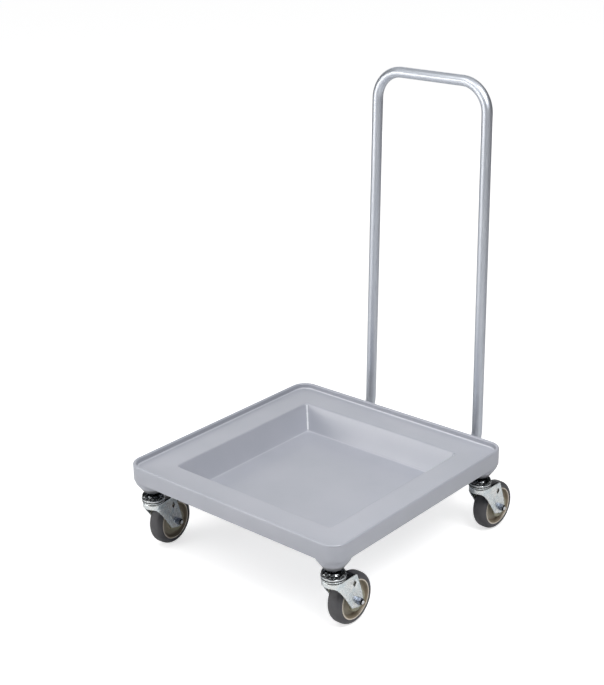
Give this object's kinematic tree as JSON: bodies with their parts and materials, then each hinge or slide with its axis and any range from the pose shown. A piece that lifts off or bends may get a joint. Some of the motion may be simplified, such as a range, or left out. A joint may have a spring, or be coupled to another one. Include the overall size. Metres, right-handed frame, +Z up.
{
  "type": "dish rack dolly",
  "caption": "Square drip tray with raised rim and deep well on swivel casters, with a tall bent-tube push handle at the back.",
  "frame": {"origin": "on the floor, under the middle of the overall width and depth", "axes": "+Z up; +Y towards the handle at the back; +X to the right, seen from the front"},
  "size_m": [0.542, 0.6492, 0.913],
  "materials": {
    "tray_plastic": "moulded, fine satin grain, soft blue-grey",
    "handle_steel": "satin plated tube",
    "bright_zinc": "bright zinc plate",
    "swivel_chrome": "polished plate",
    "zinc_steel": "zinc plated",
    "ball_steel": "polished",
    "tyre": "satin elastomer",
    "hub_plastic": "moulded",
    "olive_plastic": "moulded",
    "bearing_plastic": "plain bearing resin",
    "black_plastic": "moulded",
    "brass": "turned"
  },
  "bodies": {
    "root": {"tray": "tray_plastic", "tray_well": "tray_plastic", "tray_ribs": "tray_plastic", "inserts": "brass", "handle": "handle_steel", "handle_plugs": "black_plastic", "handle_saddles": "zinc_steel", "handle_bolts": "zinc_steel", "front_left_boss": "tray_plastic", "front_left_stem": "zinc_steel", "front_left_top_cup": "swivel_chrome", "front_left_lower_cup": "swivel_chrome", "front_right_boss": "tray_plastic", "front_right_stem": "zinc_steel", "front_right_top_cup": "swivel_chrome", "front_right_lower_cup": "swivel_chrome", "rear_left_boss": "tray_plastic", "rear_left_stem": "zinc_steel", "rear_left_top_cup": "swivel_chrome", "rear_left_lower_cup": "swivel_chrome", "rear_right_boss": "tray_plastic", "rear_right_stem": "zinc_steel", "rear_right_top_cup": "swivel_chrome", "rear_right_lower_cup": "swivel_chrome"},
    "front_left_swivel": {"front_left_fork": "bright_zinc", "front_left_balls": "ball_steel", "front_left_axle_bolt": "zinc_steel", "front_left_axle_nut": "zinc_steel", "front_left_axle_sleeve": "zinc_steel", "front_left_thread_guards": "olive_plastic"},
    "front_left_wheel": {"front_left_hub": "hub_plastic", "front_left_bearings": "bearing_plastic", "front_left_tyre": "tyre"},
    "front_right_swivel": {"front_right_fork": "bright_zinc", "front_right_balls": "ball_steel", "front_right_axle_bolt": "zinc_steel", "front_right_axle_nut": "zinc_steel", "front_right_axle_sleeve": "zinc_steel", "front_right_thread_guards": "olive_plastic"},
    "front_right_wheel": {"front_right_hub": "hub_plastic", "front_right_bearings": "bearing_plastic", "front_right_tyre": "tyre"},
    "rear_left_swivel": {"rear_left_fork": "bright_zinc", "rear_left_balls": "ball_steel", "rear_left_axle_bolt": "zinc_steel", "rear_left_axle_nut": "zinc_steel", "rear_left_axle_sleeve": "zinc_steel", "rear_left_thread_guards": "olive_plastic"},
    "rear_left_wheel": {"rear_left_hub": "hub_plastic", "rear_left_bearings": "bearing_plastic", "rear_left_tyre": "tyre"},
    "rear_right_swivel": {"rear_right_fork": "bright_zinc", "rear_right_balls": "ball_steel", "rear_right_axle_bolt": "zinc_steel", "rear_right_axle_nut": "zinc_steel", "rear_right_axle_sleeve": "zinc_steel", "rear_right_thread_guards": "olive_plastic"},
    "rear_right_wheel": {"rear_right_hub": "hub_plastic", "rear_right_bearings": "bearing_plastic", "rear_right_tyre": "tyre"}
  },
  "joints": [
    {"name": "front_left_swivel_turn", "type": "hinge", "parent": "root", "child": "front_left_swivel", "pos_m": [-0.235, -0.2886, 0.115], "axis": [0, 0, 1], "continuous": true},
    {"name": "front_left_wheel_spin", "type": "hinge", "parent": "front_left_swivel", "child": "front_left_wheel", "pos_m": [-0.23949, -0.24282, 0.0508], "axis": [0.9952, 0.0976, 0], "continuous": true},
    {"name": "front_right_swivel_turn", "type": "hinge", "parent": "root", "child": "front_right_swivel", "pos_m": [0.235, -0.2886, 0.115], "axis": [0, 0, 1], "continuous": true},
    {"name": "front_right_wheel_spin", "type": "hinge", "parent": "front_right_swivel", "child": "front_right_wheel", "pos_m": [0.23468, -0.2426, 0.0508], "axis": [1, 0.007, 0], "continuous": true},
    {"name": "rear_left_swivel_turn", "type": "hinge", "parent": "root", "child": "rear_left_swivel", "pos_m": [-0.235, 0.1814, 0.115], "axis": [0, 0, 1], "continuous": true},
    {"name": "rear_left_wheel_spin", "type": "hinge", "parent": "rear_left_swivel", "child": "rear_left_wheel", "pos_m": [-0.23661, 0.22737, 0.0508], "axis": [0.9994, 0.0349, 0], "continuous": true},
    {"name": "rear_right_swivel_turn", "type": "hinge", "parent": "root", "child": "rear_right_swivel", "pos_m": [0.235, 0.1814, 0.115], "axis": [0, 0, 1], "continuous": true},
    {"name": "rear_right_wheel_spin", "type": "hinge", "parent": "rear_right_swivel", "child": "rear_right_wheel", "pos_m": [0.23693, 0.22736, 0.0508], "axis": [0.9991, -0.0419, 0], "continuous": true}
  ]
}
